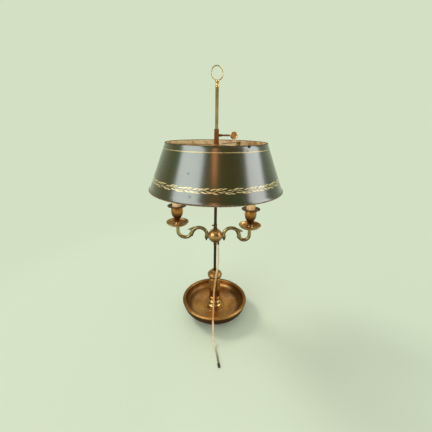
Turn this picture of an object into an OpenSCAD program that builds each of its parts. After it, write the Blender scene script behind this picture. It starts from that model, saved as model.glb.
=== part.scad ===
// Bouillotte lamp: dished brass base, turned column and a square rod that carries
// a sliding two-light branch and a sliding painted metal shade.
// Millimetres, +Z up. The origin is on the rod's axis, on the surface the lamp stands on.

/* [Base dish] */
// Outer radius of the dish over its rolled rim
rim_r = 100; // [90:1:112]
// Height of the rim's crest
rim_z = 50; // [46:1:56]
// Radius of the half-round rim
rim_roll_r = 5; // [4:0.5:6]
// Height of the dish floor round the column
floor_z = 16; // [15:0.5:18]
// Radius of the foot that stands on the felt
foot_r = 62; // [58:1:68]
// Thickness of the felt under the foot
felt_t = 1.5; // [1:0.5:2]

/* [Column] */
// Radius of the column's plain shaft
shaft_r = 16.4; // [15:0.2:18]
// Height where the foot piece ends and the shaft starts
shaft_z0 = 46; // [44:1:50]
// Height where the shaft ends and the cap starts
shaft_z1 = 121; // [112:1:124]
// Largest radius of the acorn cap
cap_r = 22; // [20:0.5:24]
// Height of the top of the acorn cap
cap_z1 = 147; // [142:1:150]
// Number of turned rings on the shaft
shaft_rings = 6; // [3:1:7]

/* [Rod and ring] */
// Side of the square rod
rod_w = 8; // [7:0.5:9]
// Height of the top of the square rod
rod_z1 = 643; // [630:1:670]
// Clearance on each side of the rod in its sliding collars
slide_gap = 0.1; // [0.05:0.05:0.15]
// Centre-line radius of the carrying ring
ring_r = 15; // [12:0.5:20]
// Radius of the carrying ring's wire
ring_wire_r = 1.3; // [1.1:0.1:1.6]
// Angle that the ring is turned by from facing the front
ring_turn = 25; // [0:1:45]

/* [Shade] */
// Outer radius of the shade at its top edge
shade_top_r = 128; // [120:1:140]
// Outer radius of the shade where its lip begins to flare
shade_knee_r = 170; // [165:1:180]
// Height of the shade's bottom edge
shade_z0 = 403; // [400:1:408]
// Height of the shade's top edge
shade_z1 = 520; // [515:1:530]
// Thickness of the shade's sheet
shade_t = 1; // [0.8:0.1:1.2]
// Number of spider arms under the shade's top edge
spider_arms = 3; // [3:1:4]

/* [Light branch] */
// Height of the centre of the ball hub
hub_z = 261; // [255:1:265]
// Radius of the ball hub
hub_r = 21; // [20:0.5:22]
// Radius of both arms' upper scrolls, on the centre line
arch_r = 22; // [21:0.5:23]
// Radius of the left arm's lower scroll, on its centre line
left_scroll_r = 20.5; // [17:0.5:22]
// Radius of the right arm's lower scroll, on its centre line
right_scroll_r = 15; // [15:0.5:21]
// Height of the left pan's seat over the ball's centre
left_seat_up = 31.2; // [24:0.1:34]
// Height of the right pan's seat over the ball's centre
right_seat_up = 24.2; // [24:0.1:34]
// Radius of the arms' tube
arm_r = 5; // [4.5:0.1:5.2]
// Radius of the drip pan
pan_r = 31.5; // [28:0.5:34]
// Radius of the candle cup's lip
lip_r = 26; // [23:0.5:27]
// Radius of the candle sleeve
sleeve_r = 12.2; // [11.8:0.1:12.5]
// Length of the candle sleeve
sleeve_h = 76; // [65:1:80]

/* [Hidden] */

$fn = 64;

// Threaded ends, nut and washer that clamp the column to the dish.
stud_r = 4;
stud_gap = 0.1;
stud_z0 = 3;
rod_seat_z = floor_z + 12;
recess_r = foot_r - 3.5;
recess_z = floor_z - 3.5;
dish_wall = 4.5;
nut_af = 13;
nut_h = 4;
washer_r = 11;
washer_t = 1.5;
nut_pocket_z = recess_z - 4;

// Carrying ring and the ferrule under it.
ferrule_h = 15.5;
ring_z = rod_z1 + ferrule_h + ring_r - 0.5 * ring_wire_r;
spigot_r = 2.5;

// Shade profile: a straight cone, then a lip that flares on an arc.
lip_flare_r = 26;
lip_a0 = 21;
lip_a1 = 40;
bead_r = 1.2;
knee_z = shade_z0 + bead_r + lip_flare_r * (sin(lip_a1) - sin(lip_a0));
shade_slope = (shade_knee_r - shade_top_r) / (shade_z1 - bead_r - knee_z);

// Collar, spider and key of the shade.
collar_w = 11.6;
collar_z0 = shade_z1 - 12;
collar_z1 = shade_z1 + 31;
spider_z = shade_z1 - 7;
spider_t = 2.2;
spider_w = 7;
spider_hub_r = 15;
tab_z0 = shade_z1 - 19;
tab_t = 1.5;
tab_w = 12;
rivet_r = 1.6;
rivet_z = shade_z1 - 11;
key_z = shade_z1 + 16;
key_r = 2.2;
key_boss_r = 3.4;
key_boss_x = 10.5;
key_disc_x = 43.5;
key_disc_r = 9.5;
thread_gap = 0.05;

// Hub: a ball on a square tube, with a screwed cover below for the wiring.
hub_wall = 2.6;
tube_w = 9.8;
tube_z0 = hub_z - 28;
tube_z1 = hub_z + 35;
flange_w = 11.4;
cover_r = 13.75;
cover_z1 = hub_z - 9;
screw_z = hub_z + 31;
screw_r = 1.8;
screw_head_r = 2.4;

// Arms: an upper and a lower scroll and a riser, drilled for the lead.
root_x = hub_r + 3;
arch_x = root_x + arch_r;
arch_z = hub_z + 2;
elbow_r = 5.5;
tenon_z = arch_z - elbow_r;
tenon_r = 3.2;
seat_r = 7;
bore_r = 2.1;
arm_stud_r = 3.2;
sheath_r = 5.9;
cuff_r = 6.6;
leaf_blunt = 0.8;

// Stack on each arm's end, as heights over the seat: pan, cup, nut, lampholder, sleeve, bulb.
pan_t = 1.2;
pan_wall_r = 12;
pan_wall_z = 14;
pan_wall_a = -20;
pan_roll_r = 1.2;
boss_z1 = 10;
cup_floor_z = 33;
cup_bore_r = sleeve_r + 0.15;
cup_r = 16.6;
lip_z = 58.4;
cup_hole_z = 46.5;
cup_hole_r = 2;
cup_nut_af = 10;
cup_nut_h = 4;
holder_z0 = cup_floor_z + cup_nut_h;
holder_z1 = cup_floor_z + sleeve_h - 6;
holder_r = 10.6;
socket_r = 7.1;
cap_shell_r = 6.9;
bulb_cap_z0 = holder_z1 - 26;
bulb_z0 = holder_z1 + 1;
bulb_r = 17.5;
bulb_mid_z = bulb_z0 + 31;
bulb_h = 66.5;
bulb_wall = 0.9;
lead_r = 1.4;

// Cord gland under the ball, beside the rod.
gland_x = 9;
gland_y = -4;
gland_r = 3.2;
gland_z0 = hub_z - 27;
gland_z1 = hub_z - 9;
core_r = 1.5;
junction_r = 13.4;
junction_h = 14;

// Flat twin cord: its width, thickness and the points of its route.
cord_w = 5;
cord_t = 2.6;
cord_sides = 8;
cord_route = [
    [9, -4, 234], [9, -4, 229], [9, -4, 224], [9.5, -5.7, 215], [10.1, -8.4, 206], [10.4, -11.4, 196],
    [10.2, -14.2, 186], [9.4, -16.5, 176], [8, -18.5, 166], [6.5, -20.5, 156],
    [5, -22.5, 147], [4, -23.8, 138], [3, -24, 130], [2, -24.3, 121], [1, -25.2, 112],
    [0, -27.3, 103], [-1, -31, 94], [-1.5, -36, 85.5], [-2, -42.5, 77.5], [-2, -50, 70.5],
    [-2.5, -58.5, 64.5], [-2.5, -67.5, 59.2], [-2.5, -77, 55], [-3, -86.5, 52.4],
    [-3, -95, 51.5], [-3, -102, 50.1], [-3, -109, 47], [-2.5, -115.5, 42], [-2.5, -121, 35.5],
    [-2, -126, 28], [-1.5, -131, 20.5], [-0.5, -136.5, 13.5], [0.5, -143, 7.5],
    [2.5, -150.5, 3.5], [5, -159, 1.7], [7.5, -168, 1.4], [9.5, -178, 1.4], [11, -188, 1.4],
    [12.5, -198, 1.4]];
tip_l = 11;
tip_w = 6;
tip_t = 3.2;

// Points of an arc round (cx, cz), from angle a0 to a1 in n steps.
function arc(cx, cz, r, a0, a1, n = 12) =
    [for (i = [0 : n]) let (a = a0 + (a1 - a0) * i / n) [cx + r * cos(a), cz + r * sin(a)]];

// Revolves an outline of [radius, height] points about the rod's axis.
module turned(points) {
    rotate_extrude(angle = 360, $fn = 96) polygon(points);
}

// The rod's square hole, through a collar from z0 to z1.
module rod_hole(z0, z1) {
    w = rod_w + 2 * slide_gap;
    translate([-w / 2, -w / 2, z0]) cube([w, w, z1 - z0]);
}

module hex(af, h) {
    cylinder(d = af / cos(30), h = h, $fn = 6);
}

// ---------------------------------------------------------------- base

// Inside surface of the dish, from the axis out to the rim.
function dish_inside() = concat(
    [[0, floor_z], [29, floor_z], [29.6, floor_z + 1.2], [31, floor_z + 1.6],
     [32.4, floor_z + 1.2], [33, floor_z + 0.6]],
    arc(33, floor_z + 120.6, 120, -86, -70, 6),
    arc(72, floor_z + 25.5, 18, -66, -10, 8));

// Outside surface, from the rim's outer side down to the foot.
function dish_outside() = concat(
    arc(rim_r - rim_roll_r, rim_z - rim_roll_r, rim_roll_r, 170, 0, 14),
    arc(51, rim_z, rim_r - 51.3, -8, -76, 14),
    [[foot_r, felt_t]]);

// The cored-out space under the dish, a wall's thickness inside both surfaces.
function dish_hollow() = concat(
    [[0, 0], [recess_r, 0], [recess_r, felt_t + 3]],
    arc(51, rim_z, rim_r - 51.3 - dish_wall, -68, -31, 7),
    arc(72, floor_z + 25.5, 18 + dish_wall, -40, -70, 5),
    arc(33, floor_z + 120.6, 120 + dish_wall, -72, -86, 4),
    [[34, recess_z], [0, recess_z]]);

module base_bowl() {
    color("goldenrod") difference() {
        turned(concat([[0, felt_t]], dish_inside(), dish_outside()));
        turned(dish_hollow());
        cylinder(r = stud_r + stud_gap, h = rim_z);
    }
}

module base_weight() {
    r = recess_r - 0.5;
    color("dimgray") difference() {
        turned([[0, felt_t], [r, felt_t], [r, recess_z - 1], [34, recess_z - 0.2],
            [26, recess_z], [0, recess_z]]);
        cylinder(r = washer_r + 1, h = nut_pocket_z);
        cylinder(r = stud_r + stud_gap, h = rim_z);
    }
}

module base_felt() {
    color("darkolivegreen") cylinder(r = foot_r - 0.5, h = felt_t);
}

module base_washer() {
    color("silver") translate([0, 0, nut_pocket_z - washer_t]) difference() {
        cylinder(r = washer_r, h = washer_t);
        translate([0, 0, -1]) cylinder(r = stud_r + stud_gap, h = washer_t + 2);
    }
}

module base_nut() {
    color("silver") translate([0, 0, nut_pocket_z - washer_t - nut_h]) difference() {
        hex(nut_af, nut_h);
        translate([0, 0, -1]) cylinder(r = stud_r + 0.02, h = nut_h + 2);
    }
}

// ---------------------------------------------------------------- column

module column_foot() {
    color("gold") difference() {
        turned(concat(
            [[0, floor_z], [24.4, floor_z], [25, floor_z + 0.6], [25, floor_z + 1.8]],
            arc(18.2, floor_z + 7.2, 5.6, -48, 66, 10),
            arc(22.2, floor_z + 15.2, 4.6, 220, 162, 5),
            arc(15.8, floor_z + 20.2, 3.4, -50, 62, 8),
            arc(19.4, floor_z + 26.4, 3.2, 218, 168, 4),
            [[16.3, shaft_z0 - 1.6], [16.3, shaft_z0], [0, shaft_z0]]));
        cylinder(r = stud_r + stud_gap, h = shaft_z0 + 1);
        translate([0, 0, rod_seat_z]) cylinder(r = 12.5, h = shaft_z0);
    }
}

// Height of turned ring i on the shaft.
function shaft_ring_z(i) = shaft_z1 - 5 - 7 * i;

module column_shaft() {
    color("gold") difference() {
        union() {
            turned(concat(
                [[0, shaft_z0], [16.3, shaft_z0]],
                arc(15.6, shaft_z0 + 2.6, 2.4, -62, 62, 7),
                arc(shaft_r + 6.2, shaft_z0 + 12, 7.4, 222, 180, 5),
                [[shaft_r - 0.4, shaft_z0 + 26], [shaft_r + 0.3, shaft_z1 - 2],
                 [shaft_r - 0.4, shaft_z1 - 1], [shaft_r - 0.4, shaft_z1], [0, shaft_z1]]));
            for (i = [0 : shaft_rings - 1])
                translate([0, 0, shaft_ring_z(i)]) rotate_extrude($fn = 96)
                    translate([shaft_r - 0.3, 0]) circle(r = 1.1, $fn = 24);
        }
        translate([0, 0, shaft_z0 - 1]) cylinder(r = 12.5, h = shaft_z1 - shaft_z0 + 2);
    }
}

module column_cap() {
    color("gold") difference() {
        turned(concat(
            [[0, shaft_z1], [15.6, shaft_z1], [15.8, shaft_z1 + 1.2]],
            arc(12.5, shaft_z1 + 9.6, cap_r - 12.5, -62, 42, 12),
            arc(4.5, shaft_z1 + 3.6, 19.6, 38, 68, 6),
            [[10.2, cap_z1 - 2.4], [9.8, cap_z1 - 0.6], [9, cap_z1], [0, cap_z1]]));
        translate([0, 0, shaft_z1 - 1]) cylinder(r = 8, h = 12);
        rod_hole(shaft_z1 - 1, cap_z1 + 1);
    }
}

module center_rod() {
    color("darkgoldenrod") {
        translate([-rod_w / 2, -rod_w / 2, rod_seat_z]) cube([rod_w, rod_w, rod_z1 - rod_seat_z]);
        translate([0, 0, stud_z0]) cylinder(r = stud_r, h = rod_seat_z - stud_z0 + 1);
        translate([0, 0, rod_z1 - 1]) cylinder(r = spigot_r, h = 10);
    }
}

module finial_ferrule() {
    z = rod_z1;
    color("gold") difference() {
        turned([[0, z], [4.6, z], [5, z + 0.6], [5, z + 2.4], [4.4, z + 3.2], [3.6, z + 5],
            [3.5, z + 7.5], [3.9, z + 10], [4.7, z + 11.6], [4.9, z + 13], [4.5, z + 14.6],
            [3.4, z + ferrule_h], [0, z + ferrule_h]]);
        translate([0, 0, z - 1]) cylinder(r = spigot_r + 0.05, h = 11);
        ring(ring_wire_r + 0.02);
    }
}

// The carrying ring, upright over the rod, of a given wire radius.
module ring(wire_r) {
    translate([0, 0, ring_z]) rotate([90, 0, ring_turn]) rotate_extrude(angle = 360, $fn = 96)
        translate([ring_r, 0]) circle(r = wire_r, $fn = 24);
}

module finial_ring() {
    color("gold") ring(ring_wire_r);
}

// ---------------------------------------------------------------- shade

// Outer line of the shade from its top edge to its bottom edge, set in by d.
function shade_line(d = 0) = concat(
    [[shade_top_r - d, shade_z1 - bead_r]],
    arc(shade_knee_r + lip_flare_r * cos(lip_a0), knee_z + lip_flare_r * sin(lip_a0),
        lip_flare_r + d, 180 + lip_a0, 180 + lip_a1, 6));

// Inside of the cone above the lip, as a solid, with its wall set in by a further d.
module cone_inside(d = 0) {
    turned([[0, knee_z], [shade_knee_r - shade_t - d, knee_z],
        [shade_top_r - shade_t - d, shade_z1 - bead_r], [0, shade_z1 - bead_r]]);
}

module shade_shell() {
    line = shade_line();
    back = shade_line(shade_t);
    n = len(line) - 1;
    color("darkolivegreen") {
        difference() {
            turned(concat(line, [for (i = [0 : n]) back[n - i]]));
            rivet_holes();
        }
        rotate_extrude(angle = 360, $fn = 96)
            translate([shade_top_r - shade_t / 2, shade_z1 - bead_r]) circle(r = bead_r, $fn = 24);
        rotate_extrude(angle = 360, $fn = 96)
            translate([line[n][0] - shade_t / 2, shade_z0 + bead_r]) circle(r = bead_r, $fn = 24);
    }
}

module shade_spider() {
    color("peru") difference() {
        union() {
            translate([0, 0, spider_z]) cylinder(r = spider_hub_r, h = spider_t);
            for (i = [0 : spider_arms - 1]) rotate([0, 0, 60 + 360 / spider_arms * i]) {
                intersection() {
                    translate([0, -spider_w / 2, spider_z]) cube([shade_top_r + 5, spider_w, spider_t]);
                    cone_inside();
                }
                intersection() {
                    translate([shade_top_r - 15, -tab_w / 2, tab_z0])
                        cube([40, tab_w, spider_z + spider_t - tab_z0]);
                    difference() {
                        cone_inside();
                        cone_inside(tab_t);
                    }
                }
            }
        }
        translate([-collar_w / 2, -collar_w / 2, spider_z - 1]) cube([collar_w, collar_w, spider_t + 2]);
        rivet_holes();
    }
}

// Radius of the shade's outer face at height z on the cone.
function cone_r(z) = shade_top_r + (shade_z1 - bead_r - z) * shade_slope;

// Places a rivet: +Z out of the shade's wall, with z = 0 on its outer face.
module at_rivets() {
    for (i = [0 : spider_arms - 1]) rotate([0, 0, 60 + 360 / spider_arms * i])
        translate([cone_r(rivet_z), 0, rivet_z]) rotate([0, 90 - atan(shade_slope), 0]) children();
}

module rivet_holes() {
    at_rivets() translate([0, 0, -4]) cylinder(r = rivet_r + 0.02, h = 8);
}

module shade_rivets() {
    inner = shade_t + tab_t + 0.1;
    color("peru") at_rivets() {
        translate([0, 0, -inner - 0.1]) cylinder(r = rivet_r, h = inner + 0.3);
        intersection() {
            translate([0, 0, -1.9]) sphere(r = 3.4, $fn = 48);
            translate([0, 0, 0.06]) cylinder(r = 4, h = 3);
        }
        translate([0, 0, -inner - 0.8]) cylinder(r = 2.2, h = 0.8);
    }
}

module shade_collar() {
    w = collar_w;
    color("sienna") difference() {
        union() {
            translate([-w / 2, -w / 2, collar_z0]) cube([w, w, collar_z1 - collar_z0]);
            translate([-w / 2 - 1.2, -w / 2 - 1.2, spider_z + spider_t]) cube([w + 2.4, w + 2.4, 3]);
            translate([0, 0, key_z]) rotate([0, 90, 0]) cylinder(r = key_boss_r, h = key_boss_x);
        }
        rod_hole(collar_z0 - 1, collar_z1 + 1);
        translate([0, 0, key_z]) rotate([0, 90, 0]) cylinder(r = key_r + thread_gap, h = 20);
    }
}

module shade_key() {
    bead_x = key_boss_x + 1;
    neck_x = key_disc_x - key_disc_r;
    color("chocolate") translate([0, 0, key_z]) {
        rotate([0, 90, 0]) rotate_extrude(angle = 360, $fn = 48) polygon([
            [0, rod_w / 2 + 0.05], [key_r, rod_w / 2 + 0.05], [key_r, bead_x],
            [key_r + 1, bead_x + 0.6], [key_r + 1, bead_x + 2.4], [key_r - 0.1, bead_x + 3.2],
            [key_r + 0.3, neck_x - 5], [key_r - 0.5, neck_x + 0.5], [0, neck_x + 0.5]]);
        translate([key_disc_x, 0, 0]) rotate([90, 0, 0]) rotate_extrude(angle = 360, $fn = 96)
            polygon(concat(
                [[0, -1.2], [key_disc_r - 3, -1.2]],
                arc(key_disc_r - 1.9, 0, 1.9, -75, 75, 7),
                [[key_disc_r - 3, 1.2], [0, 1.2]]));
    }
}

// ---------------------------------------------------------------- light branch

// Square hole that the hub's tube passes through, from z0 to z1.
module tube_hole(z0, z1) {
    translate([-tube_w / 2 - 0.02, -tube_w / 2 - 0.02, z0])
        cube([tube_w + 0.04, tube_w + 0.04, z1 - z0]);
}

module hub_sphere(r) {
    translate([0, 0, hub_z]) sphere(r = r, $fn = 96);
}

module gland_hole() {
    translate([gland_x, gland_y, gland_z0]) cylinder(r = gland_r + 0.02, h = 30);
}

module hub_ball() {
    color("gold") difference() {
        hub_sphere(hub_r);
        hub_sphere(hub_r - hub_wall);
        tube_hole(hub_z, hub_z + hub_r + 1);
        translate([0, 0, cover_z1 - 20]) cylinder(r = cover_r + 0.05, h = 20);
        translate([-hub_r - 1, 0, tenon_z]) rotate([0, 90, 0])
            cylinder(r = tenon_r + 0.02, h = 2 * hub_r + 2);
    }
}

// Screwed cover that closes the ball from below and carries the cord's gland.
module hub_cover() {
    color("gold") difference() {
        intersection() {
            hub_sphere(hub_r);
            translate([0, 0, cover_z1 - 20]) cylinder(r = cover_r, h = 20);
        }
        hub_sphere(hub_r - hub_wall);
        tube_hole(hub_z - hub_r - 1, hub_z);
        gland_hole();
    }
}

module hub_collar() {
    w = flange_w;
    color("darkgoldenrod") difference() {
        union() {
            translate([-tube_w / 2, -tube_w / 2, tube_z0]) cube([tube_w, tube_w, tube_z1 - tube_z0]);
            difference() {
                translate([-w / 2, -w / 2, hub_z + hub_r - 5]) cube([w, w, 6.5]);
                hub_sphere(hub_r);
            }
        }
        rod_hole(tube_z0 - 1, tube_z1 + 1);
        translate([0, 0, screw_z]) rotate([0, -90, 0]) cylinder(r = screw_r + thread_gap, h = 20);
    }
}

module hub_set_screw() {
    color("rosybrown") translate([0, 0, screw_z]) rotate([0, -90, 0]) {
        translate([0, 0, rod_w / 2 + 0.05]) cylinder(r = screw_r, h = 2);
        translate([0, 0, tube_w / 2 + 0.1]) difference() {
            rotate_extrude(angle = 360, $fn = 48) polygon([[0, 0], [screw_head_r - 0.3, 0],
                [screw_head_r, 0.4], [screw_head_r, 3.8], [screw_head_r - 0.5, 4.4], [0, 4.4]]);
            translate([-4, -0.4, 3.4]) cube([8, 0.8, 2]);
        }
    }
}

module cord_gland() {
    color("gold") translate([gland_x, gland_y, 0]) difference() {
        turned([[0, gland_z0], [2.7, gland_z0], [gland_r - 0.2, gland_z0 + 3.5],
            [gland_r, gland_z0 + 4.5], [gland_r, gland_z1], [0, gland_z1]]);
        translate([0, 0, gland_z0 - 1]) cylinder(r = core_r, h = 30);
    }
}

// Moulded terminal ring inside the ball, where the two leads meet the cord's cores.
module wire_junction() {
    color("ivory") translate([0, 0, gland_z1]) difference() {
        cylinder(r = junction_r, h = junction_h);
        translate([0, 0, -1]) cylinder(r = tube_w / sqrt(2) + 0.2, h = junction_h + 2);
    }
}

// The two arms are bent by hand and differ: each value below is for one side.
function scroll_r(left) = left ? left_scroll_r : right_scroll_r;
function seat_z(left) = hub_z + (left ? left_seat_up : right_seat_up);
function spur_l(left) = left ? 22 : 17;

// Direction from the upper scroll's centre to the lower one's: level on the right arm, and
// climbing 7 in 24 on the left. The two circles touch on this line.
function climb(left) = left ? [0.96, 0.28] : [1, 0];
function join_a(left) = atan2(climb(left)[1], climb(left)[0]);
function scroll_x(left) = arch_x + (arch_r + scroll_r(left)) * climb(left)[0];
function scroll_z(left) = arch_z + (arch_r + scroll_r(left)) * climb(left)[1];
function reach(left) = scroll_x(left) + scroll_r(left);

// Part of a scroll in the XZ plane round (cx, cz), with a round section.
module scroll(cx, cz, r, section_r, a0, a1) {
    translate([cx, 0, cz]) rotate([90, 0, 0]) rotate([0, 0, a0])
        rotate_extrude(angle = a1 - a0, $fn = 72) translate([r, 0]) circle(r = section_r, $fn = 32);
}

module upper_scroll(section_r, a0, a1) {
    scroll(arch_x, arch_z, arch_r, section_r, a0, a1);
}

module lower_scroll(left, section_r, a0, a1) {
    scroll(scroll_x(left), scroll_z(left), scroll_r(left), section_r, a0, a1);
}

// Half-space over (or under) the line through (cx, cz) that climbs at angle a.
module half_space(cx, cz, a, over) {
    translate([cx, 0, cz]) rotate([0, -a, 0]) translate([-100, -20, over ? 0 : -60])
        cube([200, 40, 60]);
}

// The way that the tube, the bore and the lead all follow: from in_x inside the hub, round
// the elbow and both scrolls, and up the riser to top_z.
module arm_way(left, section_r, in_x, top_z) {
    translate([in_x, 0, tenon_z]) rotate([0, 90, 0])
        cylinder(r = section_r, h = root_x - elbow_r - in_x, $fn = 32);
    scroll(root_x - elbow_r, arch_z, elbow_r, section_r, -90, 0);
    difference() {
        upper_scroll(section_r, 0, 360);
        half_space(arch_x, arch_z, 0, false);
        if (left) half_space(arch_x, arch_z, join_a(left), false);
    }
    difference() {
        lower_scroll(left, section_r, 0, 360);
        half_space(scroll_x(left), scroll_z(left), 0, true);
        if (left) half_space(scroll_x(left), scroll_z(left), join_a(left), true);
    }
    translate([reach(left), 0, scroll_z(left)])
        cylinder(r = section_r, h = top_z - scroll_z(left), $fn = 32);
}

// Outline of a pointed lens, 2 * l long and w wide, drawn h thick.
module lens(l, w, h) {
    r = (l * l + w * w / 4) / w;
    linear_extrude(height = h, center = true) intersection() {
        translate([0, r - w / 2]) circle(r = r, $fn = 128);
        translate([0, w / 2 - r]) circle(r = r, $fn = 128);
    }
}

// Cast leaf from the origin along +X: w wide in Z and t thick in Y, with a blunt tip a
// little short of its full length l.
module leaf(l, w, t) {
    intersection() {
        rotate([90, 0, 0]) lens(l, w, t);
        lens(l, t, w);
        translate([0, -t, -w]) cube([l - leaf_blunt, 2 * t, 2 * w]);
    }
}

module arm(left) {
    join = join_a(left);
    spur_a = join + 42;
    color("darkgoldenrod") difference() {
        union() {
            difference() {
                union() {
                    arm_way(left, arm_r, hub_r - 4, seat_z(left) - 4);
                    // leaf sheath over the change of curve, with a cuff at its mouth
                    upper_scroll(sheath_r, join + 2, join + 42);
                    lower_scroll(left, sheath_r, 178 + join, 197 + join);
                    lower_scroll(left, cuff_r, 196 + join, 202 + join);
                    // long leaf tip that leaves the upper scroll outwards
                    translate([arch_x + (arch_r + 2) * cos(spur_a), 0,
                        arch_z + (arch_r + 2) * sin(spur_a)]) rotate([0, 14, 0])
                        leaf(spur_l(left), 7.6, 7);
                    // pointed leaf under the root, hanging beside the ball
                    translate([root_x + 1.5, 0, arch_z - 2]) rotate([0, 90, 0]) leaf(17, 10, 9);
                    translate([reach(left), 0, seat_z(left) - 4])
                        cylinder(r1 = arm_r, r2 = seat_r, h = 2, $fn = 48);
                    translate([reach(left), 0, seat_z(left) - 2]) cylinder(r = seat_r, h = 2);
                }
                hub_sphere(hub_r + 0.02);
            }
            translate([hub_r - hub_wall - 1, 0, tenon_z]) rotate([0, 90, 0])
                cylinder(r = tenon_r, h = 3 + hub_wall);
            translate([reach(left), 0, seat_z(left) - 1]) cylinder(r = arm_stud_r, h = holder_z0);
        }
        arm_way(left, bore_r, 0, seat_z(left) + 60);
    }
}

// Everything on the branch is modelled at +X, and mirrored for the left side.
module on_side(left) {
    mirror([left ? 1 : 0, 0, 0]) children();
}

// Puts a piece of the stack, drawn round its own axis from z = 0, on its arm's seat.
module on_seat(left) {
    on_side(left) translate([reach(left), 0, seat_z(left)]) children();
}

// Stud hole through the pieces stacked on the arm's end.
module stud_hole() {
    translate([0, 0, -5]) cylinder(r = arm_stud_r + 0.05, h = 60);
}

module drip_pan() {
    mid_r = pan_wall_r - pan_t / 2;
    wall_x = pan_r - pan_roll_r - mid_r * cos(pan_wall_a);
    color("goldenrod") difference() {
        union() {
            turned(concat(
                [[0, 0], [9, 0], [14, 0.6]],
                arc(wall_x, pan_wall_z, pan_wall_r, -80, pan_wall_a, 9),
                arc(wall_x, pan_wall_z, pan_wall_r - pan_t, pan_wall_a, -80, 9),
                [[14.6, 2.4], [11, 4], [8.6, 6.6], [7.4, boss_z1], [0, boss_z1]]));
            rotate_extrude(angle = 360, $fn = 96)
                translate([pan_r - pan_roll_r, pan_wall_z + mid_r * sin(pan_wall_a)])
                    circle(r = pan_roll_r, $fn = 24);
        }
        stud_hole();
    }
}

// Candle cup, with a small screw hole in its wall that faces the front or the back.
module candle_cup(faces_front) {
    z = boss_z1;
    color("goldenrod") difference() {
        turned(concat(
            [[0, z], [7.4, z], [7.6, z + 0.9], [6.5, z + 1.8], [6.1, z + 4], [6.3, z + 7],
             [7.2, z + 10]],
            arc(cup_r - 30.4, z + 32, 30.4, -45, 0, 9),
            [[cup_r, lip_z - 11], [cup_r - 0.4, lip_z - 8.6], [cup_r - 0.4, lip_z - 7.4],
             [cup_r + 0.4, lip_z - 6.2]],
            arc(cup_r + 3.6, lip_z - 5.4, 3.4, 180, 100, 6),
            [[lip_r - 0.4, lip_z - 1.3]],
            arc(lip_r - 0.7, lip_z - 0.7, 0.7, -50, 110, 5),
            [[cup_r + 3, lip_z - 0.7], [cup_bore_r + 1.6, lip_z - 1.4],
             [cup_bore_r, lip_z - 2.4], [cup_bore_r, cup_floor_z], [0, cup_floor_z]]));
        stud_hole();
        translate([0, 0, cup_hole_z]) rotate([faces_front ? 90 : -90, 0, 0])
            cylinder(r = cup_hole_r, h = 30, $fn = 32);
    }
}

module cup_nut() {
    color("silver") translate([0, 0, cup_floor_z]) difference() {
        hex(cup_nut_af, cup_nut_h);
        translate([0, 0, -1]) cylinder(r = arm_stud_r + 0.02, h = cup_nut_h + 2);
    }
}

module lampholder() {
    color("ivory") difference() {
        union() {
            translate([0, 0, holder_z0]) cylinder(r = holder_r, h = holder_z1 - holder_z0);
            translate([0, 0, holder_z1 - 3]) cylinder(r = holder_r + 0.5, h = 3);
        }
        translate([0, 0, bulb_cap_z0]) cylinder(r = socket_r, h = 60);
        translate([0, 0, holder_z0 - 1]) cylinder(r = lead_r + 0.2, h = 4);
    }
}

module candle_sleeve() {
    color("antiquewhite") translate([0, 0, cup_floor_z]) difference() {
        cylinder(r = sleeve_r, h = sleeve_h);
        translate([0, 0, -1]) cylinder(r = holder_r + 0.6, h = sleeve_h + 2);
    }
}

module bulb_cap() {
    color("silver") difference() {
        turned([[0, bulb_cap_z0], [3.2, bulb_cap_z0], [cap_shell_r - 1, bulb_cap_z0 + 4],
            [cap_shell_r, bulb_cap_z0 + 6], [cap_shell_r, bulb_z0 + 1], [0, bulb_z0 + 1]]);
        translate([0, 0, bulb_cap_z0 + 8]) cylinder(r = cap_shell_r - 0.8, h = 40);
    }
}

// Candle bulb outline from the neck to the tip, with its wall set in by d.
function bulb_line(d) = concat(
    [[cap_shell_r - 0.9 - d, bulb_z0 - 6], [cap_shell_r - 0.9 - d, bulb_z0 + 1.6]],
    arc(bulb_r - 50, bulb_mid_z, 50 - d, -35, 0, 7),
    arc(bulb_r - 46, bulb_mid_z, 46 - d, 6, 48, 7),
    [[0, bulb_z0 + bulb_h - d]]);

module bulb() {
    inner_r = cap_shell_r - 0.9 - bulb_wall;
    color("white") difference() {
        turned(concat([[0, bulb_z0 - 6]], bulb_line(0)));
        turned(concat([[0, bulb_z0 - 7], [inner_r, bulb_z0 - 7]], bulb_line(bulb_wall)));
    }
}

// Insulated lead from the lampholder, down through the arm to the terminal ring.
module lead(left) {
    color("ivory") arm_way(left, lead_r, junction_r, seat_z(left) + holder_z0);
}

// ---------------------------------------------------------------- cord

// Unit direction of the route at point i.
function route_dir(i) =
    let (a = cord_route[max(i - 1, 0)], b = cord_route[min(i + 1, len(cord_route) - 1)])
    (b - a) / norm(b - a);

// Ring of the flat section at point i: wide along X, thin across the route.
function cord_ring(i) =
    let (d = route_dir(i), side = cross(d, [1, 0, 0]), thin = side / norm(side), wide = cross(thin, d))
    [for (k = [0 : cord_sides - 1]) let (a = 360 * (k + 0.5) / cord_sides)
        cord_route[i] + wide * cord_w / 2 / cos(180 / cord_sides) * cos(a)
            + thin * cord_t / 2 / cos(180 / cord_sides) * sin(a)];

module cord() {
    n = len(cord_route);
    m = cord_sides;
    points = [for (i = [0 : n - 1]) each cord_ring(i)];
    sides = [for (i = [0 : n - 2]) for (k = [0 : m - 1])
        [i * m + k, i * m + (k + 1) % m, (i + 1) * m + (k + 1) % m, (i + 1) * m + k]];
    ends = [[for (k = [0 : m - 1]) m - 1 - k], [for (k = [0 : m - 1]) (n - 1) * m + k]];
    color("wheat") polyhedron(points = points, faces = concat(ends, sides));
}

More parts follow.
